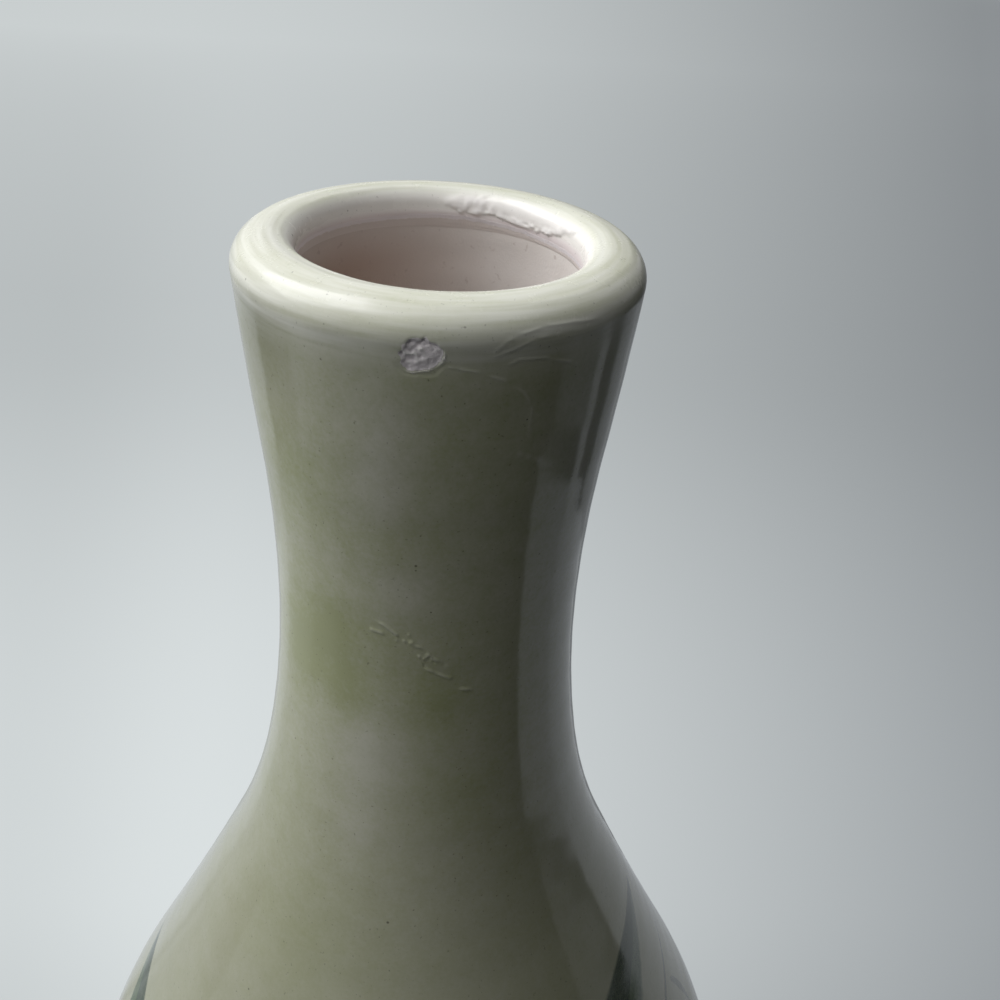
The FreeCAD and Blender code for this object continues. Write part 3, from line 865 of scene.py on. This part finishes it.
# What the camera sees: pale grey with painted light and shade, darker to the right, away from the window,
# with a soft band of painted shade across the back.
sheet_left, sheet_right = linear("#F4FAFA"), linear("#5A5D65")
depth_back = add(tree, "ShaderNodeMath", {0: on_sheet["Y"], 1: 0.0}, operation="MAXIMUM")[0]
depth_back = add(tree, "ShaderNodeMath", {0: depth_back, 1: 0.528, 2: 0.261}, operation="MULTIPLY_ADD")[0]
rightward = add(tree, "ShaderNodeMath", {0: on_sheet["X"], 1: depth_back}, operation="DIVIDE")[0]
rightward = add(tree, "ShaderNodeMath", {0: rightward, 1: 0.8}, operation="MINIMUM")[0]
darker = add(tree, "ShaderNodeMapRange", {
    "Value": rightward, "From Min": -0.42, "From Max": 1.394,
}, interpolation_type="SMOOTHSTEP")["Result"]
sheet_seen = add(tree, "ShaderNodeMixRGB", {
    "Fac": darker, "Color1": sheet_left, "Color2": sheet_right,
})["Color"]
shade = add(tree, "ShaderNodeMapRange", {
    "Value": on_sheet["Y"], "From Min": 0.159, "From Max": 0.708, "To Min": 0.6, "To Max": 0.407,
}, interpolation_type="SMOOTHSTEP")["Result"]
beyond_shade = add(tree, "ShaderNodeMapRange", {
    "Value": on_sheet["Y"], "From Min": 0.809, "From Max": 2.197, "To Max": 0.12,
})["Result"]
left_edge = add(tree, "ShaderNodeMath", {0: beyond_shade, 1: 1.25, 2: 0.85}, operation="MULTIPLY_ADD")[0]
far_left = add(tree, "ShaderNodeMapRange", {
    "Value": rightward, "From Min": -0.52, "From Max": -0.248, "To Min": left_edge, "To Max": 1.0,
}, interpolation_type="SMOOTHSTEP")["Result"]
nearest = add(tree, "ShaderNodeMapRange", {
    "Value": on_sheet["Y"], "From Min": 0.073, "From Max": 0.157, "To Min": 0.88, "To Max": 1.0,
}, interpolation_type="SMOOTHSTEP")["Result"]
sheet_strength = add(tree, "ShaderNodeMath", {0: shade, 1: beyond_shade}, operation="ADD")[0]
sheet_strength = add(tree, "ShaderNodeMath", {0: sheet_strength, 1: far_left}, operation="MULTIPLY")[0]
sheet_strength = add(tree, "ShaderNodeMath", {0: sheet_strength, 1: nearest}, operation="MULTIPLY")[0]

# What the glaze mirrors: grey and pale areas between two bearings round the vase, in degrees, and
# from one distance to another, in metres, each with its softness and brightness. The front is dark.
mirrored_areas = [
    (-18, 15, 0.0, 0.412, 0.5, 0.33), (-14, 15, 0.412, 0.48, 1.0, 0.07), (-14, 15, 0.48, 3.0, 1.0, 0.18),
    (15, 60, 0.0, 0.43, 0.7, 0.39), (15, 22, 0.43, 0.9, 1.0, 0.37), (22, 36, 0.43, 0.9, 1.0, 0.08),
    (36, 60, 0.43, 0.9, 1.5, 0.25), (60, 94, 0.0, 3.0, 8.0, 0.28), (94, 146, 0.0, 0.46, 6.0, 0.5),
    (94, 149, 0.46, 7.0, 1.5, 0.5), (120, 175, 0.0, 0.42, 3.0, 0.15), (147, 190, 0.0, 0.46, 1.5, 0.3),
    (150, 190, 0.46, 1.4, 1.5, 0.06), (150, 190, 1.4, 7.0, 1.5, 0.3), (-190, -160, 0.0, 7.0, 5.0, 0.3),
    (-160, -121, 0.0, 7.0, 3.0, 0.14),
]
mirrored = 0.02
for first, last, inner_reach, outer_reach, soft, brightness in mirrored_areas:
    inside = brightness
    for value, edge, softness, low_side, high_side in (
        (bearing, first, soft, 0.0, 1.0), (bearing, last, soft, 1.0, 0.0),
        (reach, inner_reach, 0.006, 0.0, 1.0), (reach, outer_reach, 0.006, 1.0, 0.0),
    ):
        side = add(tree, "ShaderNodeMapRange", {
            "Value": value, "From Min": edge - softness, "From Max": edge + softness,
            "To Min": low_side, "To Max": high_side,
        }, interpolation_type="SMOOTHSTEP")["Result"]
        inside = add(tree, "ShaderNodeMath", {0: inside, 1: side}, operation="MULTIPLY")[0]
    mirrored = add(tree, "ShaderNodeMath", {0: mirrored, 1: inside}, operation="ADD")[0]

# What lights the matt side of the glaze: a soft glow from the left.
left_side = (math.cos(math.radians(168)), math.sin(math.radians(168)), 0.0)
outward = add(tree, "ShaderNodeVectorMath", {0: place}, operation="NORMALIZE")["Vector"]
leftness = add(tree, "ShaderNodeVectorMath", {
    0: outward, 1: left_side,
}, operation="DOT_PRODUCT")["Value"]
soft_glow = add(tree, "ShaderNodeMapRange", {
    "Value": leftness, "From Min": 0.0, "From Max": 1.0, "To Min": 0.01, "To Max": 0.25,
}, interpolation_type="SMOOTHSTEP")["Result"]
rays = add(tree, "ShaderNodeLightPath", {})
glow = add(tree, "ShaderNodeMix", {0: rays["Is Diffuse Ray"], 2: mirrored, 3: soft_glow})[0]
glow = add(tree, "ShaderNodeMix", {0: rays["Is Camera Ray"], 2: glow, 3: sheet_strength})[0]
glow_colour = add(tree, "ShaderNodeMixRGB", {
    "Fac": rays["Is Camera Ray"], "Color1": linear("#F0F6FC"), "Color2": sheet_seen,
})["Color"]
sheet_colour = add(tree, "ShaderNodeMixRGB", {
    "Fac": rays["Is Camera Ray"], "Color1": linear("#000000"), "Color2": linear("#6C7072"),
})["Color"]
sheet_matt = add(tree, "ShaderNodeBsdfDiffuse", {"Color": sheet_colour})["BSDF"]
sheet_glow = add(tree, "ShaderNodeEmission", {"Color": glow_colour, "Strength": glow})["Emission"]
sheet_shader = add(tree, "ShaderNodeAddShader", {0: sheet_matt, 1: sheet_glow})["Shader"]

# Far away the sheet fades into the wall behind it, so that no horizon line is seen.
def wall_tone(tree, towards):
    """Colour of the plain wall that the camera sees far off, painted paler to the left as painted light from
    the window.
    """
    sideways = add(tree, "ShaderNodeSeparateXYZ", {"Vector": towards})["X"]
    sideways = add(tree, "ShaderNodeMapRange", {
        "Value": sideways, "From Min": -0.2, "From Max": 0.9,
    })["Result"]
    return add(tree, "ShaderNodeMixRGB", {
        "Fac": sideways, "Color1": linear("#C4CACB"), "Color2": linear("#8D9396"),
    })["Color"]


far_away = add(tree, "ShaderNodeMapRange", {
    "Value": reach, "From Min": 3.9, "From Max": 6.9,
}, interpolation_type="SMOOTHSTEP")["Result"]
far_away = add(tree, "ShaderNodeMath", {0: far_away, 1: rays["Is Camera Ray"]}, operation="MULTIPLY")[0]
wall_seen = add(tree, "ShaderNodeEmission", {"Color": wall_tone(tree, outward), "Strength": 1.0})["Emission"]
sheet_shader = add(tree, "ShaderNodeMixShader", {0: far_away, 1: sheet_shader, 2: wall_seen})["Shader"]
add(tree, "ShaderNodeOutputMaterial", {"Surface": sheet_shader})
studio_floor.data.materials.append(pale_sheet)


# Light. One big soft window stands on the left, a little behind the vase and high up. The room is
# bright on that side and overhead, dimmer at the back, and dark behind the camera.
window_bearing, window_height, window_distance = 166.0, 48.0, 1.6
window = bpy.data.objects.new("window", bpy.data.lights.new("window", "AREA"))
window.data.shape = "RECTANGLE"
window.data.size = 1.2
window.data.size_y = 1.3
window.data.energy = 20.0
window_out = window_distance * math.cos(math.radians(window_height))
window.location = (
    window_out * math.cos(math.radians(window_bearing)),
    window_out * math.sin(math.radians(window_bearing)),
    crown_level * MM + window_distance * math.sin(math.radians(window_height)),
)
window.rotation_euler = (math.radians(90 - window_height), 0, math.radians(window_bearing + 90))
bpy.context.scene.collection.objects.link(window)

room = bpy.data.worlds.new("room")
bpy.context.scene.world = room
room.use_nodes = True
tree = room.node_tree
tree.nodes.clear()
towards = add(tree, "ShaderNodeTexCoord", {})["Generated"]
bright_side = (0.8 * math.cos(math.radians(165)), 0.8 * math.sin(math.radians(165)), 0.6)
sideward = add(tree, "ShaderNodeVectorMath", {
    0: towards, 1: bright_side,
}, operation="DOT_PRODUCT")["Value"]
side_glow = add(tree, "ShaderNodeMapRange", {
    "Value": sideward, "From Min": 0.05, "From Max": 0.98, "To Min": 0.01, "To Max": 1.0,
}, interpolation_type="SMOOTHSTEP")["Result"]
bright_ceiling = (-0.17, -0.14, 0.975)
upward = add(tree, "ShaderNodeVectorMath", {
    0: towards, 1: bright_ceiling,
}, operation="DOT_PRODUCT")["Value"]
top_glow = add(tree, "ShaderNodeMapRange", {
    "Value": upward, "From Min": 0.68, "From Max": 1.0, "To Max": 0.6,
}, interpolation_type="SMOOTHSTEP")["Result"]
backward = add(tree, "ShaderNodeSeparateXYZ", {"Vector": towards})["Y"]
back_glow = add(tree, "ShaderNodeMapRange", {
    "Value": backward, "From Min": 0.3, "From Max": 1.0, "To Max": 0.35,
}, interpolation_type="SMOOTHSTEP")["Result"]
room_glow = add(tree, "ShaderNodeMath", {0: side_glow, 1: top_glow}, operation="ADD")[0]
room_glow = add(tree, "ShaderNodeMath", {0: room_glow, 1: back_glow}, operation="ADD")[0]
seen_by_camera = add(tree, "ShaderNodeLightPath", {})["Is Camera Ray"]
room_colour = add(tree, "ShaderNodeMixRGB", {
    "Fac": seen_by_camera, "Color1": linear("#FFFFFF"), "Color2": wall_tone(tree, towards),
})["Color"]
room_strength = add(tree, "ShaderNodeMix", {0: seen_by_camera, 2: room_glow, 3: 1.0})[0]
sky = add(tree, "ShaderNodeBackground", {"Color": room_colour, "Strength": room_strength})
add(tree, "ShaderNodeOutputWorld", {"Surface": sky["Background"]})
